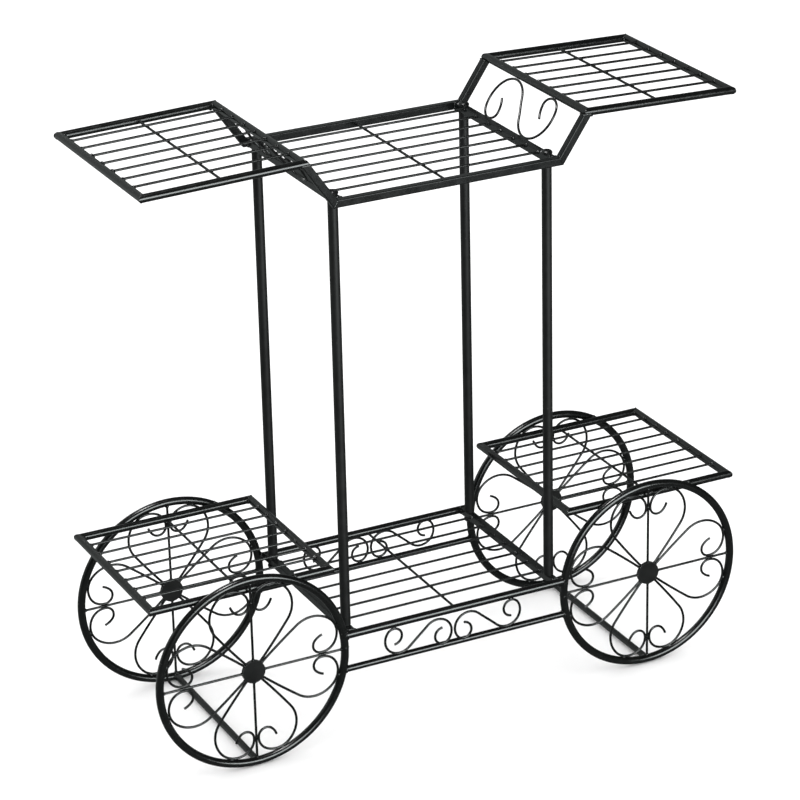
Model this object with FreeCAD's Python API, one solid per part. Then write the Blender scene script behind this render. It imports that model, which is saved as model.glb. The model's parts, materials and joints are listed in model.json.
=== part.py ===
import FreeCAD, Part
import os, math
from FreeCAD import Vector as V

# Flower cart stand of welded steel tube, rod and wire.
# Frame: origin on the floor at the centre of the footprint, +X along the
# length (towards the right wheels), +Z up, front side towards -Y.
# All sizes in millimetres.

os.makedirs("parts", exist_ok=True)

# ------------------------------------------------------------ dimensions
TUBE_R = 5.0            # 10 mm round tube: posts
TUBE_WALL = 1.0
SQ = 7.8                # square tube: centre frame and the end bars over and under the posts
SQ_ROUND = 1.0          # rounding of its edges
BAR_R = 4.0             # 8 mm round bar: shelf frames, wheel rims
THIN_R = 3.25           # 6.5 mm round bar: lower base rails, axle crossbars
WIRE_R = 1.25           # 2.5 mm wire: decks, scrolls, spokes

# centre top shelf
TOP_Z = 562.9           # axis height of the centre frame
TOP_Y = 101.0           # axis of its side rails
CORNER_X = 119.0        # where the side rails turn up
END_X = 113.5           # end bars and posts
POST_Y = 85.0

# raised wings
WING_X = 149.0          # axis of the inner wing bar
WING_Z = 606.55
WING_LEN = 160.0        # inner bar axis to outer bar axis
WING_DROP = 4.8         # fall of the outer bar below the inner bar

# base deck
BASE_Y = 100.5
BASE_Z = 116.0
SKIRT_Z = 79.2          # lower base rails

# wheels
WHEEL_X = 220.5
WHEEL_Y = 100.5
WHEEL_Z = 102.0
RIM_R = 98.0            # rim centreline radius
HUB_R = 11.8
HUB_T = 4.0
CROSS_Z = 4.2           # crossbars between the paired wheels

# lower side shelves
SIDE_Z = 187.0
SIDE_Y = 92.53           # its rails just bite into the rims
SIDE_X0 = 133.0
SIDE_X1 = 319.0

# deck wires
TOP_WIRE_Y = [-75.0, -50.0, -25.0, 0.0, 25.0, 50.0, 75.0]
SIDE_WIRE_Y = [-67.0, -44.6, -22.3, 0.0, 22.3, 44.6, 67.0]
BASE_WIRE_Y = [-73.0, -48.7, -24.3, 0.0, 24.3, 48.7, 73.0]
WIRE_UP = 2 * WIRE_R - 0.02     # long wires lie on the cross wire
WING_CROSS = 80.0               # cross wire position along a wing
SIDE_CROSS_X = 226.0

# scrolls under the base
SKIRT_OUT = 3.0         # scroll plane stands this far outside the rail axes
SKIRT_CX = 38.6         # centre of each scroll from the middle of its pair
SKIRT_SHIFT = 4.7       # each pair sits this far to the left seen from outside

# fasteners
BOLT_D = 6.0
BOLT_HEAD_D = 11.5
BOLT_HEAD_H = 3.3
INSERT_L = 14.0
INSERT_GAP = 4.0

WELD = 0.02             # bite of a coped tube end into its neighbour
WELD_W = 0.04           # the same for a wire end

X, Y, Z = V(1, 0, 0), V(0, 1, 0), V(0, 0, 1)
NODES = {}


# ------------------------------------------------------------ helpers
def rod(a, b, r):
    a, b = V(*a), V(*b)
    d = b - a
    return Part.makeCylinder(r, d.Length, a, d)


def tube(a, b, ro, wall):
    a, b = V(*a), V(*b)
    d = b - a
    u = V(d)
    u.normalize()
    inner = Part.makeCylinder(ro - wall, d.Length + 2.0, a - u, d)
    return Part.makeCylinder(ro, d.Length, a, d).cut(inner)


def square_bar(length, side, edge):
    """Square bar from the origin along X with rounded long edges."""
    b = Part.makeBox(length, side, side, V(0, -side / 2, -side / 2))
    long_edges = [e for e in b.Edges if abs(e.Length - length) < 1e-6
                  and abs(e.tangentAt(e.FirstParameter).x) > 0.9]
    return b.makeFillet(edge, long_edges)


def square_tube(length, side, wall, edge, bore=None, start=-1.0):
    """Square tube from the origin along X; the bore runs from start to bore."""
    end = length + 1.0 if bore is None else bore
    inner = square_bar(end - start, side - 2 * wall, max(edge - wall, 0.3))
    inner.translate(V(start, 0, 0))
    return square_bar(length, side, edge).cut(inner)


def along_y(s, x, z):
    """Turn a piece made along X to run along Y, centred on the middle plane."""
    s = s.copy()
    s.translate(V(-(s.BoundBox.XMin + s.BoundBox.XMax) / 2, 0, 0))
    s.rotate(V(0, 0, 0), Z, 90)
    s.translate(V(x, 0, z))
    return s


def biggest(shape):
    return max(shape.Solids, key=lambda s: s.Volume)


def cope(shape, *cutters):
    for c in cutters:
        shape = shape.cut(c)
    return biggest(shape)


def mitred_frame(x0, x1, y, z, r):
    """Level frame of round bar, mitred at its four corners: the front rail,
    the bar at x0 and the bar at x1. The back rail is the front one mirrored."""
    def half(x, yy, turn):
        b = Part.makeBox(40, 40, 40, V(0, -20, -20))
        b.rotate(V(0, 0, 0), Z, turn)
        b.translate(V(x, yy, z))
        return b

    rail = rod((x0 - r - 1, -y, z), (x1 + r + 1, -y, z), r)
    out = [cope(rail, half(x0, -y, 135), half(x1, -y, 45))]
    for x, a in ((x0, 135), (x1, 45)):
        b = rod((x, -y - r - 1, z), (x, y + r + 1, z), r)
        out.append(cope(b, half(x, -y, a + 180), half(x, y, 180 - a)))
    return out


def chain_edges(start, heading, segs, place, flip=1.0):
    """Planar chain of lines and tangent arcs; place maps (u, v) to 3-D."""
    x, y = start
    h = heading
    edges = []
    for length, turn in segs:
        h0 = h
        if abs(turn) < 1e-6:
            x1, y1 = x + length * math.cos(h), y + length * math.sin(h)
            edges.append(Part.makeLine(place(x, flip * y), place(x1, flip * y1)))
        else:
            r = length / turn
            hm = h0 + turn / 2
            h = h0 + turn
            xm = x + r * (math.sin(hm) - math.sin(h0))
            ym = y - r * (math.cos(hm) - math.cos(h0))
            x1 = x + r * (math.sin(h) - math.sin(h0))
            y1 = y - r * (math.cos(h) - math.cos(h0))
            edges.append(Part.Arc(place(x, flip * y), place(xm, flip * ym),
                                  place(x1, flip * y1)).toShape())
        x, y = x1, y1
    return edges


def sweep(edges, r):
    """Round wire along a tangent-continuous chain of edges."""
    wire = Part.Wire(edges)
    e = edges[0]
    p = e.valueAt(e.FirstParameter)
    t = e.tangentAt(e.FirstParameter)
    prof = Part.Wire([Part.Circle(p, t, r).toShape()])
    s = wire.makePipeShell([prof], True, False)
    if not s.Solids:
        s = Part.Solid(s.Shells[0])
    s = s.Solids[0]
    want = math.pi * r * r * wire.Length
    assert s.isValid() and abs(s.Volume / want - 1) < 0.01, (s.Volume, want)
    return s


def mirror_x(s):
    return s.mirror(V(0, 0, 0), X)


def mirror_y(s):
    return s.mirror(V(0, 0, 0), Y)


def put(name, *solids):
    out = []
    for s in solids:
        out += s.Solids
    for s in out:
        assert s.isValid(), name
    NODES[name] = out


def deg(a):
    return a * math.pi / 180.0


# ------------------------------------------------------------ centre frame
slope = math.atan2(WING_Z - TOP_Z, WING_X - CORNER_X)
slope_len = math.hypot(WING_X - CORNER_X, WING_Z - TOP_Z)
su, sw = math.cos(slope), math.sin(slope)

# side rails: square tubes mitred at both ends to meet the sloping struts
mitre = slope / 2


def mitre_block(x_sign, keep_inner):
    """Half space on the strut side of the mitre plane at a corner."""
    size = 60.0
    box = Part.makeBox(size, size, 2 * size, V(0, -size / 2, -size))
    if keep_inner:
        box = Part.makeBox(size, size, 2 * size, V(-size, -size / 2, -size))
    box.rotate(V(0, 0, 0), Y, -math.degrees(mitre))
    box.translate(V(CORNER_X, -TOP_Y, TOP_Z))
    return box


rail = square_tube(2 * CORNER_X + 16, SQ, TUBE_WALL, SQ_ROUND)
rail.translate(V(-CORNER_X - 8, -TOP_Y, TOP_Z))
blk = mitre_block(1, False)
rail = biggest(rail.cut(blk).cut(mirror_x(blk)))
put("top_rail_front", rail)
put("top_rail_back", mirror_y(rail))

# sloping struts from the corners up to the wings; the top of each one is cut
# level and coped round the wing frame, and its bore stops short of the weld
p0 = V(CORNER_X - 8 * su, -TOP_Y, TOP_Z - 8 * sw)
strut = square_tube(slope_len + 14, SQ, TUBE_WALL, SQ_ROUND, slope_len - 5.0)
strut.rotate(V(0, 0, 0), Y, -math.degrees(slope))
strut.translate(p0)
strut = strut.cut(mitre_block(1, True))
level = Part.makeBox(80, 60, 60, V(WING_X - 40, -TOP_Y - 30, WING_Z - 1.2))
strut = strut.cut(level)
drop = math.atan2(WING_DROP, WING_LEN)


def wing_place(s):
    """Wing built level about the inner bar, then turned down by the drop."""
    s = s.copy()
    s.rotate(V(WING_X, 0, WING_Z), Y, math.degrees(drop))
    return s


wing_cut_rail, wing_cut_bar, _ = mitred_frame(WING_X, WING_X + WING_LEN, TOP_Y, WING_Z,
                                              BAR_R - 0.6 * WELD)
strut = cope(strut, wing_place(wing_cut_rail), wing_place(wing_cut_bar))
put("top_struts_right", strut, mirror_y(strut))
put("top_struts_left", mirror_x(strut), mirror_x(mirror_y(strut)))

# end bars across the centre frame, butted against the flat inner faces of the
# side rails, with a vertical hole for each post bolt


def bolt_holes(s, x, z):
    for y in (-POST_Y, POST_Y):
        s = s.cut(rod((x, y, z - 12), (x, y, z + 12), BOLT_D / 2 + 0.1))
    return biggest(s)


end_bar = along_y(square_tube(2 * (TOP_Y - SQ / 2 + WELD), SQ, TUBE_WALL, SQ_ROUND),
                  END_X, TOP_Z)
end_bar = bolt_holes(end_bar, END_X, TOP_Z)
put("top_end_bar_right", end_bar)
put("top_end_bar_left", mirror_x(end_bar))

# deck wires of the centre shelf: seven long wires and one cross wire
wire_end = END_X - SQ / 2 + WELD_W
deck = [rod((-wire_end, y, TOP_Z + WIRE_UP), (wire_end, y, TOP_Z + WIRE_UP), WIRE_R)
        for y in TOP_WIRE_Y]
cross_end = TOP_Y - SQ / 2 + WELD_W
deck.append(rod((0, -cross_end, TOP_Z), (0, cross_end, TOP_Z), WIRE_R))
put("top_shelf_wires", *deck)

# ------------------------------------------------------------ wings
wr, wing_in, wing_out = [wing_place(b) for b in mitred_frame(
    WING_X, WING_X + WING_LEN, TOP_Y, WING_Z, BAR_R)]
bar_cuts = [rod((x, -TOP_Y, WING_Z), (x, TOP_Y, WING_Z), BAR_R - WELD_W)
            for x in (WING_X, WING_X + WING_LEN)]
wr_cut_w = rod((WING_X - 20, -TOP_Y, WING_Z),
               (WING_X + WING_LEN + 20, -TOP_Y, WING_Z), BAR_R - WELD_W)
wing_deck = []
for y in TOP_WIRE_Y:
    w = rod((WING_X + 1.5, y, WING_Z + WIRE_UP),
            (WING_X + WING_LEN - 1.5, y, WING_Z + WIRE_UP), WIRE_R)
    wing_deck.append(wing_place(cope(w, *bar_cuts)))
w = rod((WING_X + WING_CROSS, -TOP_Y + 1.5, WING_Z),
        (WING_X + WING_CROSS, TOP_Y - 1.5, WING_Z), WIRE_R)
wing_deck.append(wing_place(cope(w, wr_cut_w, mirror_y(wr_cut_w))))

# S scroll standing in the slope between the centre shelf and a wing.
# Half of it, from its middle to one curled tip, is given as a heading in
# degrees and (length, turn in degrees) pieces; the rest is that half turned
# by 180 degrees. It touches the two bars it is welded to.
WING_HALF = (51.9, [(11.17, 7.8), (82.29, -165.7), (27.90, -107.4),
                    (8.82, -63.8), (15.13, -36.0)])
SKIRT_HALF = (-40.2, [(13.95, -2.0), (17.63, 59.7), (29.63, 107.8),
                      (20.32, 130.8), (15.69, 100.1)])


def half_span(half):
    """Largest second-coordinate reach of a half scroll on each side."""
    h = deg(half[0])
    x = y = 0.0
    lo = hi = 0.0
    for length, turn in half[1]:
        t = deg(turn)
        r = length / t
        for i in range(1, 201):
            a = h + t * i / 200
            yy = y - r * (math.cos(a) - math.cos(h))
            lo, hi = min(lo, yy), max(hi, yy)
        x += r * (math.sin(h + t) - math.sin(h))
        y -= r * (math.cos(h + t) - math.cos(h))
        h += t
    return lo, hi


def s_scroll(half, scale, place):
    h0 = deg(half[0])
    segs = [(l * scale, deg(t)) for l, t in half[1]]
    fwd = chain_edges((0.0, 0.0), h0, segs, place)
    back = chain_edges((0.0, 0.0), h0, segs, lambda u, v: place(-u, -v))
    # one tip to the other as a single run of edges
    rev = []
    for e in reversed(back):
        a, b = e.valueAt(e.FirstParameter), e.valueAt(e.LastParameter)
        m = e.valueAt((e.FirstParameter + e.LastParameter) / 2)
        rev.append(Part.Arc(b, m, a).toShape())
    return sweep(rev + fwd, WIRE_R)


# the scroll plane is parallel to the struts, a little inside their axes;
# contact heights along the slope: low at the outer face of the centre end bar,
# high at the inner wing bar
IN = 1.6
low_s = (SQ / 2 + WIRE_R - 0.03 - (CORNER_X - END_X) + IN * sw) / su
high_s = slope_len - math.sqrt((BAR_R + WIRE_R - 0.03) ** 2 - IN ** 2)
mid_s = (low_s + high_s) / 2
lo, hi = half_span(WING_HALF)
reach = max(hi, -lo)
wing_scale = (high_s - low_s) / 2 / reach


def on_slope(u, v):
    s = mid_s + v
    return V(CORNER_X + s * su - IN * sw, u, TOP_Z + s * sw + IN * su)


wing_scroll = s_scroll(WING_HALF, wing_scale, on_slope)

for side, f in (("right", lambda s: s), ("left", mirror_x)):
    put(side + "_wing_rail_front", f(wr))
    put(side + "_wing_rail_back", f(mirror_y(wr)))
    put(side + "_wing_inner_bar", f(wing_in))
    put(side + "_wing_outer_bar", f(wing_out))
    put(side + "_wing_wires", *[f(s) for s in wing_deck])
    put(side + "_wing_scroll", f(wing_scroll))

# ------------------------------------------------------------ wheels
def torus(x, y, r):
    return Part.makeTorus(RIM_R, r, V(x, y, WHEEL_Z), Y)


def wheel_xz(a, b, spin, xs, ys):
    """Point a along a spoke and b across it, spoke turned by spin."""
    c, s = math.cos(spin), math.sin(spin)
    return V(xs + a * c - b * s, ys, WHEEL_Z + a * s + b * c)


# curled spoke wire: out from the hub, round inside the rim and back in a curl
PETAL_START = (9.8, 7.6)
PETAL = (40.4, [(48.45, -3.6), (40.19, -80.0), (27.33, -74.1),
                (19.70, -70.0), (18.68, -125.0), (9.24, -30.5)])


def petal_reach(scale, db):
    h = deg(PETAL[0])
    x, y = PETAL_START[0] * scale, PETAL_START[1] * scale + db
    far, low = 0.0, 1e9
    for i, (length, turn) in enumerate(PETAL[1]):
        t = deg(turn)
        r = length * scale / t
        for k in range(1, 201):
            a = h + t * k / 200
            xx = x + r * (math.sin(a) - math.sin(h))
            yy = y - r * (math.cos(a) - math.cos(h))
            far = max(far, math.hypot(xx, yy))
            if i > 1:
                low = min(low, yy)
        x, y = (x + r * (math.sin(h + t) - math.sin(h)),
                y - r * (math.cos(h + t) - math.cos(h)))
        h += t
    return far, low


want_far = RIM_R - BAR_R - WIRE_R + 0.03
want_low = 2 * WIRE_R - 0.03
p_scale, p_db = 0.985, 0.5
for _ in range(40):
    far, low = petal_reach(p_scale, p_db)
    p_db += want_low - low
    p_scale *= 1 + 0.8 * (want_far - far) / want_far

WHEELS = (("front_left", -1, -1), ("front_right", 1, -1),
          ("back_left", -1, 1), ("back_right", 1, 1))
hubs = []
for name, sx, sy in WHEELS:
    x, y = sx * WHEEL_X, sy * WHEEL_Y
    put("wheel_rim_" + name, torus(x, y, BAR_R))
    hub_cut = Part.makeCylinder(HUB_R - WELD_W, 20, V(x, y - 10, WHEEL_Z), Y)
    ring_cut = torus(x, y, BAR_R - WELD_W)
    spokes, curls = [], []
    for k in range(4):
        spin = k * math.pi / 2
        s = rod(tuple(wheel_xz(HUB_R - 1.5, 0, spin, x, y)),
                tuple(wheel_xz(RIM_R - BAR_R + 1.0, 0, spin, x, y)), WIRE_R)
        spokes.append(cope(s, hub_cut, ring_cut))
        for flip in (1.0, -1.0):
            segs = [(l * p_scale, deg(t)) for l, t in PETAL[1]]
            st = (PETAL_START[0] * p_scale, PETAL_START[1] * p_scale + p_db)
            # lead-in straight from inside the hub edge
            h = deg(PETAL[0])
            lead = 2.2
            st2 = (st[0] - lead * math.cos(h), st[1] - lead * math.sin(h))
            edges = chain_edges(st2, h, [(lead, 0.0)] + segs,
                                lambda a, b: wheel_xz(a, b, spin, x, y), flip)
            curls.append(cope(sweep(edges, WIRE_R), hub_cut))
    put("wheel_spokes_" + name, *spokes)
    put("wheel_curls_" + name, *curls)
    hubs.append(Part.makeCylinder(HUB_R, HUB_T, V(x, y - HUB_T / 2, WHEEL_Z), Y))
put("wheel_hubs", *hubs)

# crossbars joining the front and back wheel of each end, low down in the rims
for side, sx in (("left", -1), ("right", 1)):
    x = sx * WHEEL_X
    c = rod((x, -WHEEL_Y + 1.0, CROSS_Z), (x, WHEEL_Y - 1.0, CROSS_Z), THIN_R)
    put("wheel_crossbar_" + side,
        cope(c, torus(x, -WHEEL_Y, BAR_R - WELD), torus(x, WHEEL_Y, BAR_R - WELD)))

# ------------------------------------------------------------ base
def rim_x(z):
    return WHEEL_X - math.sqrt(RIM_R ** 2 - (z - WHEEL_Z) ** 2)


def base_rail(z, r):
    e = rim_x(z) - 1.2
    b = rod((-e, -BASE_Y, z), (e, -BASE_Y, z), r)
    return cope(b, torus(WHEEL_X, -WHEEL_Y, BAR_R - WELD),
                torus(-WHEEL_X, -WHEEL_Y, BAR_R - WELD))


up, low_rail = base_rail(BASE_Z, BAR_R), base_rail(SKIRT_Z, THIN_R)
put("base_rail_front", up)
put("base_rail_back", mirror_y(up))
put("skirt_rail_front", low_rail)
put("skirt_rail_back", mirror_y(low_rail))

up_cut = rod((-150, -BASE_Y, BASE_Z), (150, -BASE_Y, BASE_Z), BAR_R - WELD)
bb = along_y(square_tube(2 * (BASE_Y - 0.5), SQ, TUBE_WALL, SQ_ROUND), END_X, BASE_Z)
bb = cope(bolt_holes(bb, END_X, BASE_Z), up_cut, mirror_y(up_cut))
put("base_end_bar_right", bb)
put("base_end_bar_left", mirror_x(bb))

up_cut_w = rod((-150, -BASE_Y, BASE_Z), (150, -BASE_Y, BASE_Z), BAR_R - WELD_W)
deck = [rod((-wire_end, y, BASE_Z + WIRE_UP), (wire_end, y, BASE_Z + WIRE_UP), WIRE_R)
        for y in BASE_WIRE_Y]
w = rod((0, -BASE_Y + 1.5, BASE_Z), (0, BASE_Y - 1.5, BASE_Z), WIRE_R)
deck.append(cope(w, up_cut_w, mirror_y(up_cut_w)))
put("base_wires", *deck)

# pair of S scrolls between the base rail and the skirt rail, on the outside
bite = 0.03
z_hi = BASE_Z - math.sqrt((BAR_R + WIRE_R - bite) ** 2 - SKIRT_OUT ** 2)
z_lo = SKIRT_Z + math.sqrt((THIN_R + WIRE_R - bite) ** 2 - SKIRT_OUT ** 2)
z_mid = (z_hi + z_lo) / 2
lo, hi = half_span(SKIRT_HALF)
skirt_scale = (z_hi - z_lo) / 2 / max(hi, -lo)
sk = s_scroll(SKIRT_HALF, skirt_scale,
              lambda u, v: V(SKIRT_CX + u, -BASE_Y - SKIRT_OUT, z_mid + v))
pair = [sk.copy(), mirror_x(sk)]
for s in pair:
    s.translate(V(-SKIRT_SHIFT, 0, 0))
put("skirt_scrolls_front", *pair)
turned = [s.copy() for s in pair]
for s in turned:
    s.rotate(V(0, 0, 0), Z, 180)
put("skirt_scrolls_back", *turned)

# ------------------------------------------------------------ posts and bolts
posts = {}
post = tube((END_X, -POST_Y, BASE_Z + SQ / 2 - WELD), (END_X, -POST_Y, TOP_Z - SQ / 2 + WELD),
            TUBE_R, TUBE_WALL)
put("post_front_right", post)
put("post_front_left", mirror_x(post))
put("post_back_right", mirror_y(post))
put("post_back_left", mirror_x(mirror_y(post)))


def insert(z0):
    p = rod((END_X, -POST_Y, z0), (END_X, -POST_Y, z0 + INSERT_L),
            TUBE_R - TUBE_WALL - 0.01)
    return p.cut(rod((END_X, -POST_Y, z0 - 1), (END_X, -POST_Y, z0 + INSERT_L + 1),
                     BOLT_D / 2 + 0.02))


def four(s):
    return [s, mirror_x(s), mirror_y(s), mirror_x(mirror_y(s))]


ins_hi = insert(TOP_Z - SQ / 2 - INSERT_GAP - INSERT_L)
ins_lo = insert(BASE_Z + SQ / 2 + INSERT_GAP)
put("post_inserts", *(four(ins_hi) + four(ins_lo)))


def bolt(z_seat, up):
    """Button head bolt; the head is on the +Z side when up is true."""
    r = BOLT_HEAD_D / 2
    h = BOLT_HEAD_H
    shank = SQ + INSERT_GAP + INSERT_L - 1.0
    # domed head turned about the bolt axis
    pts = [V(0, 0, -shank), V(BOLT_D / 2 - 0.6, 0, -shank),
           V(BOLT_D / 2, 0, -shank + 0.6), V(BOLT_D / 2, 0, 0),
           V(r, 0, 0), V(r, 0, 1.2)]
    edges = [Part.makeLine(a, b) for a, b in zip(pts[:-1], pts[1:])]
    top_in = V(2.9, 0, h)
    mid = V(4.75, 0, h - 0.72)
    edges.append(Part.Arc(pts[-1], mid, top_in).toShape())
    edges.append(Part.makeLine(top_in, V(0, 0, h)))
    edges.append(Part.makeLine(V(0, 0, h), pts[0]))
    face = Part.Face(Part.Wire(edges))
    b = face.revolve(V(0, 0, 0), Z, 360)
    if not b.Solids:
        b = Part.Solid(b.Shells[0])
    b = b.Solids[0]
    if b.Volume < 0:
        b.reverse()
    # hexagon socket, 4 mm across flats
    pr = 4.0 / math.sqrt(3)
    poly = [V(pr * math.cos(deg(60 * i)), pr * math.sin(deg(60 * i)), h - 2.0)
            for i in range(7)]
    hexa = Part.Face(Part.makePolygon(poly)).extrude(V(0, 0, 4))
    b = biggest(b.cut(hexa))
    if not up:
        b.rotate(V(0, 0, 0), X, 180)
    b.translate(V(END_X, -POST_Y, z_seat))
    return b


put("top_bolts", *four(bolt(TOP_Z + SQ / 2, True)))
put("base_bolts", *four(bolt(BASE_Z - SQ / 2, False)))

# ------------------------------------------------------------ lower side shelves
sr, *bars = mitred_frame(SIDE_X0, SIDE_X1, SIDE_Y, SIDE_Z, BAR_R)
sr_cut_w = rod((SIDE_X0 - 20, -SIDE_Y, SIDE_Z), (SIDE_X1 + 20, -SIDE_Y, SIDE_Z), BAR_R - WELD_W)
sb_cuts = [rod((x, -SIDE_Y, SIDE_Z), (x, SIDE_Y, SIDE_Z), BAR_R - WELD_W)
           for x in (SIDE_X0, SIDE_X1)]
side_deck = []
for y in SIDE_WIRE_Y:
    w = rod((SIDE_X0 + 1.5, y, SIDE_Z + WIRE_UP),
            (SIDE_X1 - 1.5, y, SIDE_Z + WIRE_UP), WIRE_R)
    side_deck.append(cope(w, *sb_cuts))
w = rod((SIDE_CROSS_X, -SIDE_Y + 1.5, SIDE_Z), (SIDE_CROSS_X, SIDE_Y - 1.5, SIDE_Z), WIRE_R)
side_deck.append(cope(w, sr_cut_w, mirror_y(sr_cut_w)))
for side, f in (("right", lambda s: s), ("left", mirror_x)):
    put(side + "_shelf_rail_front", f(sr))
    put(side + "_shelf_rail_back", f(mirror_y(sr)))
    put(side + "_shelf_inner_bar", f(bars[0]))
    put(side + "_shelf_outer_bar", f(bars[1]))
    put(side + "_shelf_wires", *[f(s) for s in side_deck])

# ------------------------------------------------------------ export
total = 0.0
for name, solids in NODES.items():
    shape = solids[0] if len(solids) == 1 else Part.makeCompound(solids)
    shape.exportStep("parts/" + name + ".step")
    vol = sum(s.Volume for s in solids)
    total += vol
    print("%-26s %2d solids  %9.1f mm3" % (name, len(solids), vol))
box = Part.makeCompound([s for ss in NODES.values() for s in ss]).BoundBox
print("nodes", len(NODES), "volume", round(total), "mm3, steel mass",
      round(total * 7.85e-6, 3), "kg")
print("box", round(box.XMin, 2), round(box.XMax, 2), round(box.YMin, 2),
      round(box.YMax, 2), round(box.ZMin, 2), round(box.ZMax, 2))
print("scales", round(wing_scale, 4), round(skirt_scale, 4), round(p_scale, 4), round(p_db, 3))
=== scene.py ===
import json
import math
import random

import bmesh
import bpy
from mathutils import Euler, Matrix, Vector, noise

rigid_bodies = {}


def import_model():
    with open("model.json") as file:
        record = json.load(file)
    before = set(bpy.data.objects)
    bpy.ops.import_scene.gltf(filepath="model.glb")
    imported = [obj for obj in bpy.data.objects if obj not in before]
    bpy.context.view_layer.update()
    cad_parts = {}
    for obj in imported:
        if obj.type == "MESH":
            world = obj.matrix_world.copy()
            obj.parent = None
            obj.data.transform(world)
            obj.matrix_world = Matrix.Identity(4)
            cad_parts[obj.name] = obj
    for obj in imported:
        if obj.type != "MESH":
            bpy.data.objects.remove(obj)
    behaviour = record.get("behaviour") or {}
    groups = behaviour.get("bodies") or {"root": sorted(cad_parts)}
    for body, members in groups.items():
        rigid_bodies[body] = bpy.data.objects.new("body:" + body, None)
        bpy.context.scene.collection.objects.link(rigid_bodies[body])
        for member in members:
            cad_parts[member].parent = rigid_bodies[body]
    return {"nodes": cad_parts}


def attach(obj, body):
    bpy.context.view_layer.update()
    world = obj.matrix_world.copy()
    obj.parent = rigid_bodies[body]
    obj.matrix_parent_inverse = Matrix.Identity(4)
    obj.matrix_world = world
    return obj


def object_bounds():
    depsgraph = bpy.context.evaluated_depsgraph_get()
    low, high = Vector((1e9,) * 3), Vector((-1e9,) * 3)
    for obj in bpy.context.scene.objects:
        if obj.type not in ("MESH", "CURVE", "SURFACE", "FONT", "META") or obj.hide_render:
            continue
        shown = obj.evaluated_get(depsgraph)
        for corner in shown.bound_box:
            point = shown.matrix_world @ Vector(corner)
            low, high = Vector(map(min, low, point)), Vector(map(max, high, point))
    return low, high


for left_over in list(bpy.data.objects):
    bpy.data.objects.remove(left_over)

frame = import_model()
cad_lo, cad_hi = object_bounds()
nodes = frame["nodes"]
rng = random.Random(4711)

MM = 0.001


# ------------------------------------------------------------------ materials
def new_material(name):
    m = bpy.data.materials.new(name)
    m.use_nodes = True
    t = m.node_tree
    t.nodes.clear()
    out = t.nodes.new("ShaderNodeOutputMaterial")
    out.location = (1300, 0)
    shader = t.nodes.new("ShaderNodeBsdfPrincipled")
    shader.location = (1000, 0)
    t.links.new(shader.outputs["BSDF"], out.inputs["Surface"])
    return m, t, shader


def noise_node(t, coord, scale, detail=2.0, rough=0.5, distortion=0.0):
    n = t.nodes.new("ShaderNodeTexNoise")
    n.inputs["Scale"].default_value = scale
    n.inputs["Detail"].default_value = detail
    n.inputs["Roughness"].default_value = rough
    n.inputs["Distortion"].default_value = distortion
    t.links.new(coord, n.inputs["Vector"])
    return n.outputs["Fac"]


def map_range(t, value, a, b, c, d, smooth=False):
    n = t.nodes.new("ShaderNodeMapRange")
    n.interpolation_type = "SMOOTHSTEP" if smooth else "LINEAR"
    n.clamp = True
    n.inputs["From Min"].default_value = a
    n.inputs["From Max"].default_value = b
    n.inputs["To Min"].default_value = c
    n.inputs["To Max"].default_value = d
    t.links.new(value, n.inputs["Value"])
    return n.outputs["Result"]


def math_node(t, op, a, b=None):
    n = t.nodes.new("ShaderNodeMath")
    n.operation = op
    n.use_clamp = False
    for i, v in enumerate((a, b)):
        if v is None:
            continue
        if isinstance(v, (int, float)):
            n.inputs[i].default_value = v
        else:
            t.links.new(v, n.inputs[i])
    return n.outputs["Value"]


def mix_colour(t, fac, a, b):
    n = t.nodes.new("ShaderNodeMix")
    n.data_type = "RGBA"
    n.clamp_factor = True
    t.links.new(fac, n.inputs["Factor"])
    for socket, v in ((n.inputs[6], a), (n.inputs[7], b)):
        if isinstance(v, tuple):
            socket.default_value = (*v, 1.0)
        else:
            t.links.new(v, socket)
    return n.outputs[2]


def edge_mask(t, radius):
    """About 1 on outward edges no blunter than the radius, 0 on plain faces."""
    bevel = t.nodes.new("ShaderNodeBevel")
    bevel.samples = 4
    bevel.inputs["Radius"].default_value = radius
    geo = t.nodes.new("ShaderNodeNewGeometry")
    dot = t.nodes.new("ShaderNodeVectorMath")
    dot.operation = "DOT_PRODUCT"
    t.links.new(bevel.outputs["Normal"], dot.inputs[0])
    t.links.new(geo.outputs["Normal"], dot.inputs[1])
    return map_range(t, dot.outputs["Value"], 0.985, 0.80, 0.0, 1.0)


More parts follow.
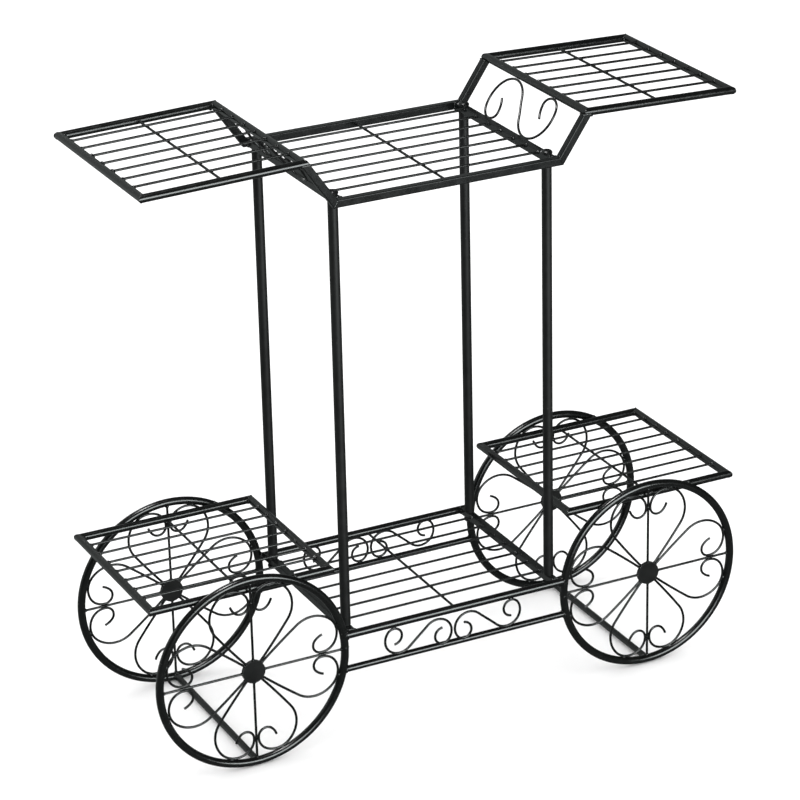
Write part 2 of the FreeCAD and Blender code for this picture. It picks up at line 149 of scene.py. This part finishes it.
def paint(name, base, rough, rough_span=0.07, peel=0.25, peel_scale=850.0,
          edge=0.0006, spec=0.5, coat=0.0, worn=(0.085, 0.083, 0.080)):
    """Stoved black powder coat: slightly uneven depth of colour, orange peel,
    pin-head dust nibs in the film, and thinner, duller film on cut edges."""
    m, t, s = new_material(name)
    co = t.nodes.new("ShaderNodeTexCoord").outputs["Object"]
    broad = noise_node(t, co, 14.0, 3.0, 0.55, 0.3)
    cloud = noise_node(t, co, 95.0, 4.0, 0.6)
    fine = noise_node(t, co, peel_scale, 2.0, 0.5)
    grit = noise_node(t, co, 2300.0, 1.0, 0.5)

    lo = tuple(c * 0.70 for c in base)
    hi = tuple(c * 1.40 for c in base)
    depth = math_node(t, "ADD", math_node(t, "MULTIPLY", broad, 0.55),
                      math_node(t, "MULTIPLY", cloud, 0.45))
    depth = map_range(t, depth, 0.36, 0.64, 0.0, 1.0)
    colour = mix_colour(t, depth, lo, hi)

    # specks of dust and nibs baked into the film
    cells = t.nodes.new("ShaderNodeTexVoronoi")
    cells.feature = "F1"
    cells.inputs["Scale"].default_value = 260.0
    cells.inputs["Randomness"].default_value = 1.0
    t.links.new(co, cells.inputs["Vector"])
    near = map_range(t, cells.outputs["Distance"], 0.07, 0.16, 1.0, 0.0, True)
    few = t.nodes.new("ShaderNodeSeparateColor")
    t.links.new(cells.outputs["Color"], few.inputs["Color"])
    rare = map_range(t, few.outputs["Red"], 0.90, 0.93, 0.0, 1.0)
    speck = math_node(t, "MULTIPLY", near, rare)
    colour = mix_colour(t, math_node(t, "MULTIPLY", speck, 0.35), colour,
                        (0.11, 0.108, 0.104))

    # rubbed edges
    broken = map_range(t, noise_node(t, co, 420.0, 3.0, 0.65), 0.40, 0.62, 0.15, 1.0)
    rub = math_node(t, "MULTIPLY", edge_mask(t, edge), broken)
    rub = math_node(t, "MULTIPLY", rub, 0.75)
    colour = mix_colour(t, rub, colour, worn)
    t.links.new(colour, s.inputs["Base Color"])

    r = map_range(t, cloud, 0.30, 0.70, rough - rough_span, rough + rough_span)
    r = math_node(t, "ADD", r, math_node(t, "MULTIPLY", rub, 0.22))
    r = math_node(t, "ADD", r, math_node(t, "MULTIPLY", speck, 0.18))
    t.links.new(r, s.inputs["Roughness"])

    height = math_node(t, "ADD", math_node(t, "MULTIPLY", fine, 0.80),
                       math_node(t, "MULTIPLY", grit, 0.12))
    height = math_node(t, "ADD", height, math_node(t, "MULTIPLY", speck, 0.5))
    bump = t.nodes.new("ShaderNodeBump")
    bump.inputs["Strength"].default_value = peel
    bump.inputs["Distance"].default_value = 0.00012
    t.links.new(height, bump.inputs["Height"])
    t.links.new(bump.outputs["Normal"], s.inputs["Normal"])

    s.inputs["Metallic"].default_value = 0.0
    s.inputs["IOR"].default_value = 1.5
    s.inputs["Specular IOR Level"].default_value = spec
    s.inputs["Coat Weight"].default_value = coat
    s.inputs["Coat Roughness"].default_value = 0.18
    return m


def steel(name, base, rough):
    """Turned zinc-plated steel for the hidden plugs."""
    m, t, s = new_material(name)
    co = t.nodes.new("ShaderNodeTexCoord").outputs["Object"]
    stretch = t.nodes.new("ShaderNodeMapping")
    stretch.inputs["Scale"].default_value = (40.0, 40.0, 2600.0)
    t.links.new(co, stretch.inputs["Vector"])
    rings = noise_node(t, stretch.outputs["Vector"], 1.0, 2.0, 0.6)
    cloud = noise_node(t, co, 160.0, 4.0, 0.6)
    c = mix_colour(t, cloud, tuple(x * 0.8 for x in base), tuple(x * 1.15 for x in base))
    t.links.new(c, s.inputs["Base Color"])
    t.links.new(map_range(t, rings, 0.3, 0.7, rough - 0.08, rough + 0.12),
                s.inputs["Roughness"])
    bump = t.nodes.new("ShaderNodeBump")
    bump.inputs["Strength"].default_value = 0.3
    bump.inputs["Distance"].default_value = 0.00005
    t.links.new(rings, bump.inputs["Height"])
    t.links.new(bump.outputs["Normal"], s.inputs["Normal"])
    s.inputs["Metallic"].default_value = 1.0
    return m


TUBE = paint("tube_paint", (0.0058, 0.0065, 0.0064), 0.46, spec=0.25, peel=0.2,
             edge=0.0007)
FRAME = paint("frame_paint", (0.0056, 0.0063, 0.0062), 0.21, rough_span=0.04, spec=0.20,
              peel=0.15, edge=0.0005)
BAR = paint("bar_paint", (0.0022, 0.0026, 0.0025), 0.21, rough_span=0.05, peel=0.18,
            edge=0.0006)
WIRE = paint("wire_paint", (0.0026, 0.0030, 0.0029), 0.26, peel=0.15,
             peel_scale=1300.0, edge=0.00022)
HUB = paint("hub_paint", (0.0036, 0.0041, 0.0040), 0.38, spec=0.32, peel=0.25, edge=0.0005)
LOW_WIRE = paint("low_wire_paint", (0.0026, 0.0030, 0.0029), 0.30, spec=0.22, peel=0.15,
                 peel_scale=1300.0, edge=0.00022)
WELD = paint("weld_paint", (0.0025, 0.0029, 0.0028), 0.20, peel=0.25,
             peel_scale=1500.0, edge=0.0002)
BOLT = paint("bolt_paint", (0.0032, 0.0037, 0.0036), 0.30, rough_span=0.05,
             peel=0.15, edge=0.0004, worn=(0.10, 0.098, 0.094))
PLUG = steel("plug_steel", (0.50, 0.50, 0.49), 0.34)


def material_for(name):
    if name == "post_inserts":
        return PLUG
    if name.endswith("_bolts"):
        return BOLT
    if name == "wheel_hubs":
        return HUB
    if name == "base_wires":
        return LOW_WIRE
    if "wires" in name or "scroll" in name or "spokes" in name or "curls" in name:
        return WIRE
    if name.startswith(("top_rail", "top_struts", "top_end_bar", "base_end_bar")):
        return FRAME
    if name.startswith("post_"):
        return TUBE
    return BAR


for node_name, ob in nodes.items():
    mat = material_for(node_name)
    if ob.material_slots:
        for sl in ob.material_slots:
            sl.material = mat
    else:
        ob.data.materials.append(mat)


# ------------------------------------------------------------------ weld metal
# Sizes of the frame, in millimetres, as in the CAD model.
TOP_Z, TOP_Y, CORNER_X, END_X = 562.9, 101.0, 119.0, 113.5
WING_X, WING_Z, WING_LEN, WING_DROP, WING_CROSS = 149.0, 606.55, 160.0, 4.8, 80.0
BASE_Y, BASE_Z, SKIRT_Z = 100.5, 116.0, 79.2
WHEEL_X, WHEEL_Y, WHEEL_Z, RIM_R, HUB_R = 220.5, 100.5, 102.0, 98.0, 11.8
CROSS_Z, SIDE_Z, SIDE_Y, SIDE_X0, SIDE_X1, SIDE_CROSS_X = 4.2, 187.0, 92.53, 133.0, 319.0, 226.0
TUBE_R, BAR_R, THIN_R, WIRE_R = 5.0, 4.0, 3.25, 1.25
SQ, SCROLL_IN = 7.8, 1.6
WIRE_UP = 2.48
TOP_WIRE_Y = (-75.0, -50.0, -25.0, 0.0, 25.0, 50.0, 75.0)
SIDE_WIRE_Y = (-67.0, -44.6, -22.3, 0.0, 22.3, 44.6, 67.0)
BASE_WIRE_Y = (-73.0, -48.7, -24.3, 0.0, 24.3, 48.7, 73.0)
SLOPE = math.atan2(WING_Z - TOP_Z, WING_X - CORNER_X)
SLOPE_LEN = math.hypot(WING_X - CORNER_X, WING_Z - TOP_Z)
DROP = math.atan2(WING_DROP, WING_LEN)


class Weld:
    """Collects small lumps of weld metal into one mesh; works in millimetres."""

    def __init__(self, name):
        self.name, self.verts, self.faces = name, [], []

    def bead(self, pts, outs, radius, ripple=9, closed=True, rough=0.16):
        """A run of weld along pts; outs gives the outward direction at each."""
        n, k = len(pts), 10
        start = len(self.verts)
        phase = rng.uniform(0, math.tau)
        seed = Vector((rng.uniform(0, 90), rng.uniform(0, 90), rng.uniform(0, 90)))
        for i, (p, u) in enumerate(zip(pts, outs)):
            a = pts[(i - 1) % n] if closed or i else pts[0]
            b = pts[(i + 1) % n] if closed or i < n - 1 else pts[-1]
            tan = (b - a).normalized()
            u = (u - tan * u.dot(tan)).normalized()
            w = tan.cross(u)
            lump = 1 + 0.10 * math.sin(ripple * math.tau * i / n + phase)
            lump += rough * noise.noise(p * 0.55 + seed)
            if not closed:
                lump *= max(0.15, math.sin(math.pi * (i + 0.5) / n)) ** 0.4
            for j in range(k):
                ang = math.tau * j / k
                self.verts.append(p + (u * math.cos(ang) + w * math.sin(ang)) * radius * lump)
        rows = n if closed else n - 1
        for i in range(rows):
            for j in range(k):
                a = start + i * k + j
                b = start + i * k + (j + 1) % k
                c = start + ((i + 1) % n) * k + (j + 1) % k
                d = start + ((i + 1) % n) * k + j
                self.faces.append((a, b, c, d))
        if not closed:
            self.faces.append(tuple(start + j for j in reversed(range(k))))
            self.faces.append(tuple(start + (n - 1) * k + j for j in range(k)))

    def lump(self, at, size, along=None, up=None, fine=2, rough=0.18):
        """A drop of weld metal: an uneven ellipsoid with its own axes."""
        along = (along or Vector((1, 0, 0))).normalized()
        up = up or Vector((0, 0, 1))
        if abs(along.dot(up.normalized())) > 0.95:
            up = Vector((0, 1, 0)) if abs(along.y) < 0.9 else Vector((1, 0, 0))
        up = (up - along * up.dot(along)).normalized()
        side = up.cross(along)
        sx, sy, sz = size
        bm = bmesh.new()
        bmesh.ops.create_icosphere(bm, subdivisions=fine, radius=1.0)
        seed = Vector((rng.uniform(0, 90), rng.uniform(0, 90), rng.uniform(0, 90)))
        start = len(self.verts)
        for v in bm.verts:
            k = 1 + rough * noise.noise(v.co * 1.3 + seed)
            c = v.co * k
            self.verts.append(at + along * c.x * sx + side * c.y * sy + up * c.z * sz)
        for f in bm.faces:
            self.faces.append(tuple(start + v.index for v in f.verts))
        bm.free()

    def mirrored(self, sx=1, sy=1):
        """A copy of everything so far, mirrored in X and/or Y."""
        flip = sx * sy < 0
        base = len(self.verts)
        self.verts += [Vector((v.x * sx, v.y * sy, v.z)) for v in self.verts[:base]]
        self.faces += [tuple(base + i for i in (reversed(f) if flip else f))
                       for f in list(self.faces)]

    def build(self):
        lim_lo = [c / MM + 0.03 for c in cad_lo]
        lim_hi = [c / MM - 0.03 for c in cad_hi]
        me = bpy.data.meshes.new(self.name)
        me.from_pydata([[min(max(v[i], lim_lo[i]), lim_hi[i]) * MM for i in range(3)]
                        for v in self.verts], [], self.faces)
        me.validate()
        me.update()
        me.polygons.foreach_set("use_smooth", [True] * len(me.polygons))
        me.materials.append(WELD)
        ob = bpy.data.objects.new(self.name, me)
        bpy.context.scene.collection.objects.link(ob)
        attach(ob, "root")
        return ob


def tee(weld, q, d, along, r, big, least, size, place=lambda p: p, n=44):
    """Bead round a bar of radius r, axis through q along d away from the rail,
    where it is coped to a rail of radius big running along 'along'."""
    d, e1 = Vector(d).normalized(), Vector(along).normalized()
    e2 = d.cross(e1)
    q = Vector(q)
    pts, outs = [], []
    for i in range(n):
        a = math.tau * i / n
        off = r * math.sin(a)
        h = max(least, math.sqrt(max(big * big - off * off, 0.0)))
        radial = e1 * math.cos(a) + e2 * math.sin(a)
        p = q + d * (h + 0.25 * size) + radial * (r + 0.05 * size)
        pts.append(place(p))
        outs.append(place(p + radial) - place(p))
    weld.bead(pts, outs, size)


def rounded_square(half, edge, n=56):
    """Points round a square with rounded corners, with their outward directions."""
    out = []
    for i in range(n):
        a = math.tau * (i + 0.5) / n
        c, s = math.cos(a), math.sin(a)
        k = 1 / (abs(c) ** 8 + abs(s) ** 8) ** 0.125
        u, v = min(max(half * k * c, -half), half), min(max(half * k * s, -half), half)
        inner = half - edge
        cu, cv = min(max(u, -inner), inner), min(max(v, -inner), inner)
        du, dv = u - cu, v - cv
        ln = math.hypot(du, dv)
        if ln > edge and edge > 0:
            u, v = cu + du / ln * edge, cv + dv / ln * edge
        out.append((u, v, du / ln, dv / ln))
    return out


def square_tee(weld, x, y, z, sy, least, big, size):
    """Bead round the end of a square end bar that runs along Y, where it meets
    a side rail at (y, z): flat faced when big is 0, round of radius big else."""
    pts, outs = [], []
    for u, v, du, dv in rounded_square(SQ / 2, 1.0):
        reach = least if not big else math.sqrt(max(big * big - v * v, least * least))
        d = Vector((du, 0, dv))
        pts.append(Vector((x + u, y - sy * (reach + 0.2 * size), z + v)) + d * 0.05 * size)
        outs.append(d)
    weld.bead(pts, outs, size)


def mitre(weld, x, y, z, sx, sy, r, place=lambda p: p):
    """Dressed seam of a mitred corner: a thin run round the joint, a little
    more metal in the inside corner. sx, sy point out of the frame."""
    out = Vector((sx, sy, 0)).normalized()
    c = Vector((x, y, z))
    pts, outs = [], []
    for i in range(40):
        a = math.tau * i / 40
        k = math.sqrt(2) * r * math.cos(a)
        up = r * math.sin(a)
        radial = (out * math.cos(a) * 0.8 + Vector((0, 0, 1)) * math.sin(a)).normalized()
        p = c + out * k + Vector((0, 0, up)) - radial * 0.42
        pts.append(place(p))
        outs.append(place(p + radial) - place(p))
    weld.bead(pts, outs, 0.62, ripple=9, rough=0.3)
    p = c - out * (math.sqrt(2) * r + 0.15)
    weld.lump(place(p), (1.5, 1.9, 2.7), out, Vector((0, 0, 1)), fine=3)


def wing_place(p):
    """The wing is made level about its inner bar, then turned down."""
    x, z = p.x - WING_X, p.z - WING_Z
    c, s = math.cos(DROP), math.sin(DROP)
    return Vector((WING_X + x * c + z * s, p.y, WING_Z - x * s + z * c))


def deck_nibs(weld, xs, ys, z, r, cross_x, rail_y, rail_r, place=lambda p: p, flat=False):
    """Weld nibs at both ends of the long wires, at the ends of the cross wire
    and where the wires cross."""
    reach = r if flat else math.sqrt(r * r - WIRE_UP * WIRE_UP)
    for y in ys:
        for x, s in ((xs[0], 1), (xs[1], -1)):
            p = Vector((x + s * (reach + 0.15), y + rng.uniform(-0.3, 0.3), z + WIRE_UP))
            k = rng.uniform(0.9, 1.2)
            weld.lump(place(p), (2.3 * k, 1.85 * k, 1.35 * k),
                      Vector((s * -0.62, 0, 0.55)), fine=3, rough=0.3)
        weld.lump(place(Vector((cross_x, y, z + WIRE_UP / 2))),
                  (1.45, 1.45, 0.95), Vector((1, 0, 0)), fine=2)
    for s in (-1, 1):
        p = Vector((cross_x, s * (rail_y - rail_r - 0.35), z - 0.2))
        weld.lump(place(p), (2.0, 1.75, 1.6), Vector((1, 0, 0)))


def chain(start, heading, segs, n=60):
    """Points along a planar run of arcs (length, turn in radians)."""
    x, y = start
    h = heading
    pts = [(x, y)]
    for length, turn in segs:
        r = length / turn
        for i in range(1, n + 1):
            a = h + turn * i / n
            pts.append((x + r * (math.sin(a) - math.sin(h)),
                        y - r * (math.cos(a) - math.cos(h))))
        x, y = pts[-1]
        h += turn
    return pts


def rad(segs, scale):
    return [(l * scale, math.radians(t)) for l, t in segs]


# centre frame: end bars into the side rails, mitred corners, tops of the struts
w = Weld("weld_centre_frame")
for sy in (-1, 1):
    square_tee(w, END_X, sy * TOP_Y, TOP_Z, sy, SQ / 2, 0, 0.85)
    pts, outs = [], []
    m = math.tan(SLOPE / 2)
    for side, up, d_side, d_up in rounded_square(SQ / 2, 1.0):
        radial = Vector((-m * d_up, d_side, d_up)).normalized()
        c = Vector((CORNER_X - m * up, sy * TOP_Y + side, TOP_Z + up))
        pts.append(c - radial * 0.42)
        outs.append(radial)
    w.bead(pts, outs, 0.62, ripple=11)
    pts, outs = [], []
    z = WING_Z - 1.6
    cx = CORNER_X + (z - TOP_Z) * math.cos(SLOPE) / math.sin(SLOPE)
    for u, v, du, dv in rounded_square(SQ / 2, 1.0):
        radial = Vector((du, dv, 0))
        pts.append(Vector((cx + u / math.sin(SLOPE) - 0.3, sy * TOP_Y + v * 0.93, z)))
        outs.append(radial)
    w.bead(pts, outs, 0.75, ripple=8)
    # run of weld in the fork between the strut and the wing rail
    w.lump(Vector((WING_X + 3.9, sy * (TOP_Y + 0.1), WING_Z - 3.9)), (2.0, 2.6, 1.3),
           Vector((1, 0, -0.35)), fine=3)
    w.lump(Vector((CORNER_X - 1.4, sy * TOP_Y, TOP_Z + SQ / 2 + 0.5)), (1.9, 2.4, 0.9),
           Vector((math.cos(SLOPE / 2), 0, math.sin(SLOPE / 2))), fine=3)
w.mirrored(sx=-1)
deck_nibs(w, (-END_X, END_X), TOP_WIRE_Y, TOP_Z, SQ / 2, 0.0, TOP_Y, SQ / 2, flat=True)
w.build()

# wings
WING_HALF = (51.9, [(11.17, 7.8), (82.29, -165.7), (27.90, -107.4), (8.82, -63.8), (15.13, -36.0)])
low_s = (SQ / 2 + WIRE_R - 0.03 - (CORNER_X - END_X)
         + SCROLL_IN * math.sin(SLOPE)) / math.cos(SLOPE)
high_s = SLOPE_LEN - math.sqrt((BAR_R + WIRE_R - 0.03) ** 2 - SCROLL_IN ** 2)
mid_s = (low_s + high_s) / 2
w = Weld("weld_right_wing")
for sy in (-1, 1):
    for x, sx in ((WING_X, -1), (WING_X + WING_LEN, 1)):
        mitre(w, x, sy * TOP_Y, WING_Z, sx, sy, BAR_R, wing_place)
deck_nibs(w, (WING_X, WING_X + WING_LEN), TOP_WIRE_Y, WING_Z, BAR_R,
          WING_X + WING_CROSS, TOP_Y, BAR_R, wing_place)
half = chain((0.0, 0.0), math.radians(WING_HALF[0]), rad(WING_HALF[1], 0.9756))
u, v = max(half, key=lambda p: p[1] if max(q[1] for q in half) > -min(q[1] for q in half) else -p[1])
for sgn in (1, -1):
    uu, vv = u * sgn, v * sgn
    out_v = 1 if vv > 0 else -1
    s = mid_s + vv + out_v * WIRE_R * 0.8
    p = Vector((CORNER_X + s * math.cos(SLOPE) - SCROLL_IN * math.sin(SLOPE), uu,
                TOP_Z + s * math.sin(SLOPE) + SCROLL_IN * math.cos(SLOPE)))
    if out_v < 0:
        p.x -= 0.6
    w.lump(p, (3.0, 1.7, 1.7), Vector((0, 1, 0)), fine=3)
w.build()
mirror = Weld("weld_left_wing")
mirror.verts = [Vector((-p.x, p.y, p.z)) for p in w.verts]
mirror.faces = [tuple(reversed(f)) for f in w.faces]
mirror.build()

# low side shelves
for side, sx in (("right", 1), ("left", -1)):
    w = Weld("weld_%s_shelf" % side)
    for sy in (-1, 1):
        for x, out in ((SIDE_X0, -1), (SIDE_X1, 1)):
            mitre(w, sx * x, sy * SIDE_Y, SIDE_Z, sx * out, sy, BAR_R)
        dx = math.sqrt(RIM_R ** 2 - (SIDE_Z - WHEEL_Z) ** 2)
        for s in (-1, 1):
            x = sx * WHEEL_X + s * dx
            tang = Vector((-(SIDE_Z - WHEEL_Z), 0, s * dx)).normalized()
            mid = Vector((x, sy * (WHEEL_Y - BAR_R), SIDE_Z))
            for k in (-1, 1):
                way = (tang + Vector((k, 0, 0)) * (1 if tang.x >= 0 else -1)).normalized()
                w.lump(mid + way * 2.4, (3.0, 1.5, 1.35), way, Vector((0, 1, 0)), fine=3)
    xs = (SIDE_X0, SIDE_X1) if sx > 0 else (-SIDE_X1, -SIDE_X0)
    deck_nibs(w, xs, SIDE_WIRE_Y, SIDE_Z, BAR_R, sx * SIDE_CROSS_X, SIDE_Y, BAR_R)
    w.build()

# base deck: end bars, rails into the rims, scrolls
SKIRT_HALF = (-40.2, [(13.95, -2.0), (17.63, 59.7), (29.63, 107.8), (20.32, 130.8), (15.69, 100.1)])
SKIRT_OUT, SKIRT_CX, SKIRT_SHIFT = 3.0, 38.6, 4.7
w = Weld("weld_base")


def into_rim(z, r, size, n=44):
    """Bead where a rail along X meets the outside of the right front rim."""
    pts, outs = [], []
    for i in range(n):
        a = math.tau * i / n
        yy, zz = r * math.sin(a), z + r * math.cos(a)
        ring = RIM_R + math.sqrt(BAR_R ** 2 - min(abs(yy), BAR_R - 0.05) ** 2)
        x = WHEEL_X - math.sqrt(ring ** 2 - (zz - WHEEL_Z) ** 2)
        radial = Vector((0, math.sin(a), math.cos(a)))
        pts.append(Vector((x - 0.3 * size, -WHEEL_Y + yy, zz)) + radial * 0.05 * size)
        outs.append(radial)
    w.bead(pts, outs, size)


square_tee(w, END_X, -BASE_Y, BASE_Z, -1, 1.8, BAR_R, 0.8)
into_rim(BASE_Z, BAR_R, 0.95)
into_rim(SKIRT_Z, THIN_R, 0.9)
w.mirrored(sx=-1)
w.mirrored(sy=-1)
deck_nibs(w, (-END_X, END_X), BASE_WIRE_Y, BASE_Z, SQ / 2, 0.0, BASE_Y, BAR_R, flat=True)
z_hi = BASE_Z - math.sqrt((BAR_R + WIRE_R - 0.03) ** 2 - SKIRT_OUT ** 2)
z_lo = SKIRT_Z + math.sqrt((THIN_R + WIRE_R - 0.03) ** 2 - SKIRT_OUT ** 2)
z_mid = (z_hi + z_lo) / 2
half = chain((0.0, 0.0), math.radians(SKIRT_HALF[0]), rad(SKIRT_HALF[1], 0.9682))
top = max(p[1] for p in half) >= -min(p[1] for p in half)
u, v = max(half, key=lambda p: p[1] if top else -p[1])
for mirror_sign in (1, -1):
    for sgn in (1, -1):
        x = mirror_sign * (SKIRT_CX + sgn * u) - SKIRT_SHIFT
        z = z_mid + sgn * v
        rail_z = BASE_Z if sgn * v > 0 else SKIRT_Z
        rail_r = BAR_R if sgn * v > 0 else THIN_R
        away = Vector((0, -SKIRT_OUT, z - rail_z)).normalized()
        for turn in (1, -1):
            p = Vector((turn * x, turn * -BASE_Y, rail_z)) + Vector(
                (0, turn * away.y, away.z)) * (rail_r + 0.3)
            w.lump(p, (2.7, 1.5, 1.5), Vector((1, 0, 0)), fine=3)
w.build()

# wheels: spokes and curls at hub and rim, crossbar ends, rim seam
PETAL_START = (9.8, 7.6)
PETAL = (40.4, [(48.45, -3.6), (40.19, -80.0), (27.33, -74.1), (19.70, -70.0),
                (18.68, -125.0), (9.24, -30.5)])
P_SCALE, P_DB = 0.9836, 0.571
curl = chain((PETAL_START[0] * P_SCALE, PETAL_START[1] * P_SCALE + P_DB),
             math.radians(PETAL[0]), rad(PETAL[1], P_SCALE))
far = max(curl, key=lambda p: math.hypot(*p))
near = min(curl[len(curl) // 3:], key=lambda p: p[1])
for name, sx, sy in (("front_left", -1, -1), ("front_right", 1, -1),
                     ("back_left", -1, 1), ("back_right", 1, 1)):
    w = Weld("weld_wheel_" + name)
    cx, cy = sx * WHEEL_X, sy * WHEEL_Y
    for k in range(4):
        spin = k * math.pi / 2
        c, s = math.cos(spin), math.sin(spin)

        def at(a, b):
            return Vector((cx + a * c - b * s, cy, WHEEL_Z + a * s + b * c))

        radial = Vector((c, 0, s))
        across = Vector((-s, 0, c))
        w.lump(at(HUB_R + 0.3, 0), (1.6, 2.0, 1.7), radial)
        w.lump(at(RIM_R - BAR_R - 0.3, 0), (1.6, 2.0, 1.8), radial)
        for f in (1, -1):
            start = (PETAL_START[0] * P_SCALE, PETAL_START[1] * P_SCALE + P_DB)
            rr = math.hypot(*start)
            w.lump(at(start[0] * 12.1 / rr, f * start[1] * 12.1 / rr), (1.5, 1.8, 1.6),
                   (radial * start[0] + across * f * start[1]))
            rr = math.hypot(*far)
            w.lump(at(far[0] * 94.1 / rr, f * far[1] * 94.1 / rr), (1.45, 2.9, 1.6),
                   (radial * far[0] + across * f * far[1]), Vector((0, 1, 0)), fine=3)
        w.lump(at(near[0], 0), (2.3, 1.7, 1.35), radial, fine=3)
    # crossbar end against the inner side of the rim
    pts, outs = [], []
    for i in range(44):
        a = math.tau * i / 44
        r = THIN_R
        xx, zz = r * math.cos(a), CROSS_Z + r * math.sin(a)
        ring = math.hypot(xx, zz - WHEEL_Z) - RIM_R
        y = math.sqrt(max(BAR_R ** 2 - ring ** 2, 1.0))
        rad_dir = Vector((math.cos(a), 0, math.sin(a)))
        pts.append(Vector((cx + xx, cy - sy * (y + 0.25), zz)) + rad_dir * 0.05)
        outs.append(rad_dir)
    w.bead(pts, outs, 0.85)
    # dressed seam where the ring was closed, between the two base rails
    ang = math.pi if sx > 0 else 0.0
    ang += 0.02
    seam = Vector((cx + RIM_R * math.cos(ang), cy, WHEEL_Z + RIM_R * math.sin(ang)))
    rdir = Vector((math.cos(ang), 0, math.sin(ang)))
    pts, outs = [], []
    for i in range(32):
        a = math.tau * i / 32
        o = rdir * math.cos(a) + Vector((0, 1, 0)) * math.sin(a)
        pts.append(seam + o * (BAR_R - 0.55))
        outs.append(o)
    w.bead(pts, outs, 0.8, ripple=7)
    w.build()


# ------------------------------------------------------------------ studio
def floor_material():
    m, t, s = new_material("floor_white")
    co = t.nodes.new("ShaderNodeTexCoord").outputs["Object"]
    n = noise_node(t, co, 3.0, 3.0, 0.5)
    t.links.new(mix_colour(t, n, (0.93, 0.93, 0.93), (0.95, 0.95, 0.95)),
                s.inputs["Base Color"])
    s.inputs["Roughness"].default_value = 0.9
    s.inputs["Specular IOR Level"].default_value = 0.1
    return m


me = bpy.data.meshes.new("studio_floor")
me.from_pydata([(-30, -30, 0), (30, -30, 0), (30, 30, 0), (-30, 30, 0)], [], [(0, 1, 2, 3)])
me.materials.append(floor_material())
floor = bpy.data.objects.new("studio_floor", me)
bpy.context.scene.collection.objects.link(floor)
floor.location.z = -0.0002
floor.visible_glossy = False

# white surroundings for the eye and for soft fill, a dim studio for reflections
world = bpy.data.worlds.new("studio")
bpy.context.scene.world = world
world.use_nodes = True
wt = world.node_tree
wt.nodes.clear()
wout = wt.nodes.new("ShaderNodeOutputWorld")
dim = wt.nodes.new("ShaderNodeBackground")
bright = wt.nodes.new("ShaderNodeBackground")
mix = wt.nodes.new("ShaderNodeMixShader")
path = wt.nodes.new("ShaderNodeLightPath")
gen = wt.nodes.new("ShaderNodeTexCoord")
sep = wt.nodes.new("ShaderNodeSeparateXYZ")
wt.links.new(gen.outputs["Generated"], sep.inputs["Vector"])
low = map_range(wt, sep.outputs["Z"], -0.20, 0.05, 0.17, 0.045, True)
side = wt.nodes.new("ShaderNodeVectorMath")
side.operation = "DOT_PRODUCT"
side.inputs[1].default_value = (-0.60, 0.74, 0.30)
wt.links.new(gen.outputs["Generated"], side.inputs[0])
back = map_range(wt, side.outputs["Value"], 0.40, 0.98, 0.0, 0.36, True)
side2 = wt.nodes.new("ShaderNodeVectorMath")
side2.operation = "DOT_PRODUCT"
side2.inputs[1].default_value = (0.43, 0.84, 0.33)
wt.links.new(gen.outputs["Generated"], side2.inputs[0])
over = map_range(wt, side2.outputs["Value"], 0.86, 0.98, 0.0, 0.20, True)
lvl = math_node(wt, "ADD", math_node(wt, "ADD", low, back), over)
grey = wt.nodes.new("ShaderNodeCombineColor")
for i, cool in enumerate((0.93, 1.0, 0.985)):
    wt.links.new(math_node(wt, "MULTIPLY", lvl, cool), grey.inputs[i])
wt.links.new(grey.outputs["Color"], dim.inputs["Color"])
dim.inputs["Strength"].default_value = 1.0
bright.inputs["Color"].default_value = (1.0, 1.0, 1.0, 1.0)
bright.inputs["Strength"].default_value = 1.45
wt.links.new(path.outputs["Is Glossy Ray"], mix.inputs["Fac"])
wt.links.new(bright.outputs["Background"], mix.inputs[1])
wt.links.new(dim.outputs["Background"], mix.inputs[2])
wt.links.new(mix.outputs["Shader"], wout.inputs["Surface"])


def soft_box(name, at, target, size, watts, colour=(1.0, 1.0, 1.0)):
    d = bpy.data.lights.new(name, "AREA")
    d.shape = "RECTANGLE"
    d.size, d.size_y = size
    d.energy = watts
    d.color = colour
    o = bpy.data.objects.new(name, d)
    bpy.context.scene.collection.objects.link(o)
    o.location = at
    o.rotation_mode = "QUATERNION"
    o.rotation_quaternion = (Vector(target) - Vector(at)).to_track_quat("-Z", "Y")
    o.visible_camera = False
    return o


def around(azimuth, height, distance):
    """A point seen from the object at that azimuth, 0 in front, + to the right."""
    a = math.radians(azimuth)
    return (math.sin(a) * distance, -math.cos(a) * distance, height)


front = soft_box("front_strip", around(9.0, 0.60, 2.0), (0.0, 0.0, 0.52), (1.66, 1.05), 62.0,
                 (0.94, 1.0, 0.995))
left = soft_box("left_box", (-2.6, 1.9, 1.4), (0.0, 0.0, 0.3), (0.8, 1.2), 4.0)
back = soft_box("back_strip", around(182.0, 0.62, 2.2), (0.0, 0.0, 0.45), (0.8, 0.7), 8.0)
top = soft_box("top_box", (-0.35, -0.25, 2.7), (0.0, 0.0, 0.4), (0.6, 0.6), 45.0)
for box in (front, left, back, top):
    box.visible_diffuse = False     # they draw the highlights; the fill comes from all round

# ------------------------------------------------------------------ camera
cam_data = bpy.data.cameras.new("camera")
cam = bpy.data.objects.new("camera", cam_data)
bpy.context.scene.collection.objects.link(cam)
cam.location = (-1.33482, -2.69412, 1.59108)
cam.rotation_mode = "XYZ"
cam.rotation_euler = Euler((math.radians(66.80), math.radians(1.233), math.radians(-26.772)))
cam_data.sensor_width = 36.0
cam_data.lens = 148.22
cam_data.clip_start, cam_data.clip_end = 0.1, 200.0
bpy.context.scene.camera = cam

view = bpy.context.scene.view_settings
view.view_transform = "Standard"
view.look = "None"
view.exposure = 0.0
view.gamma = 1.0
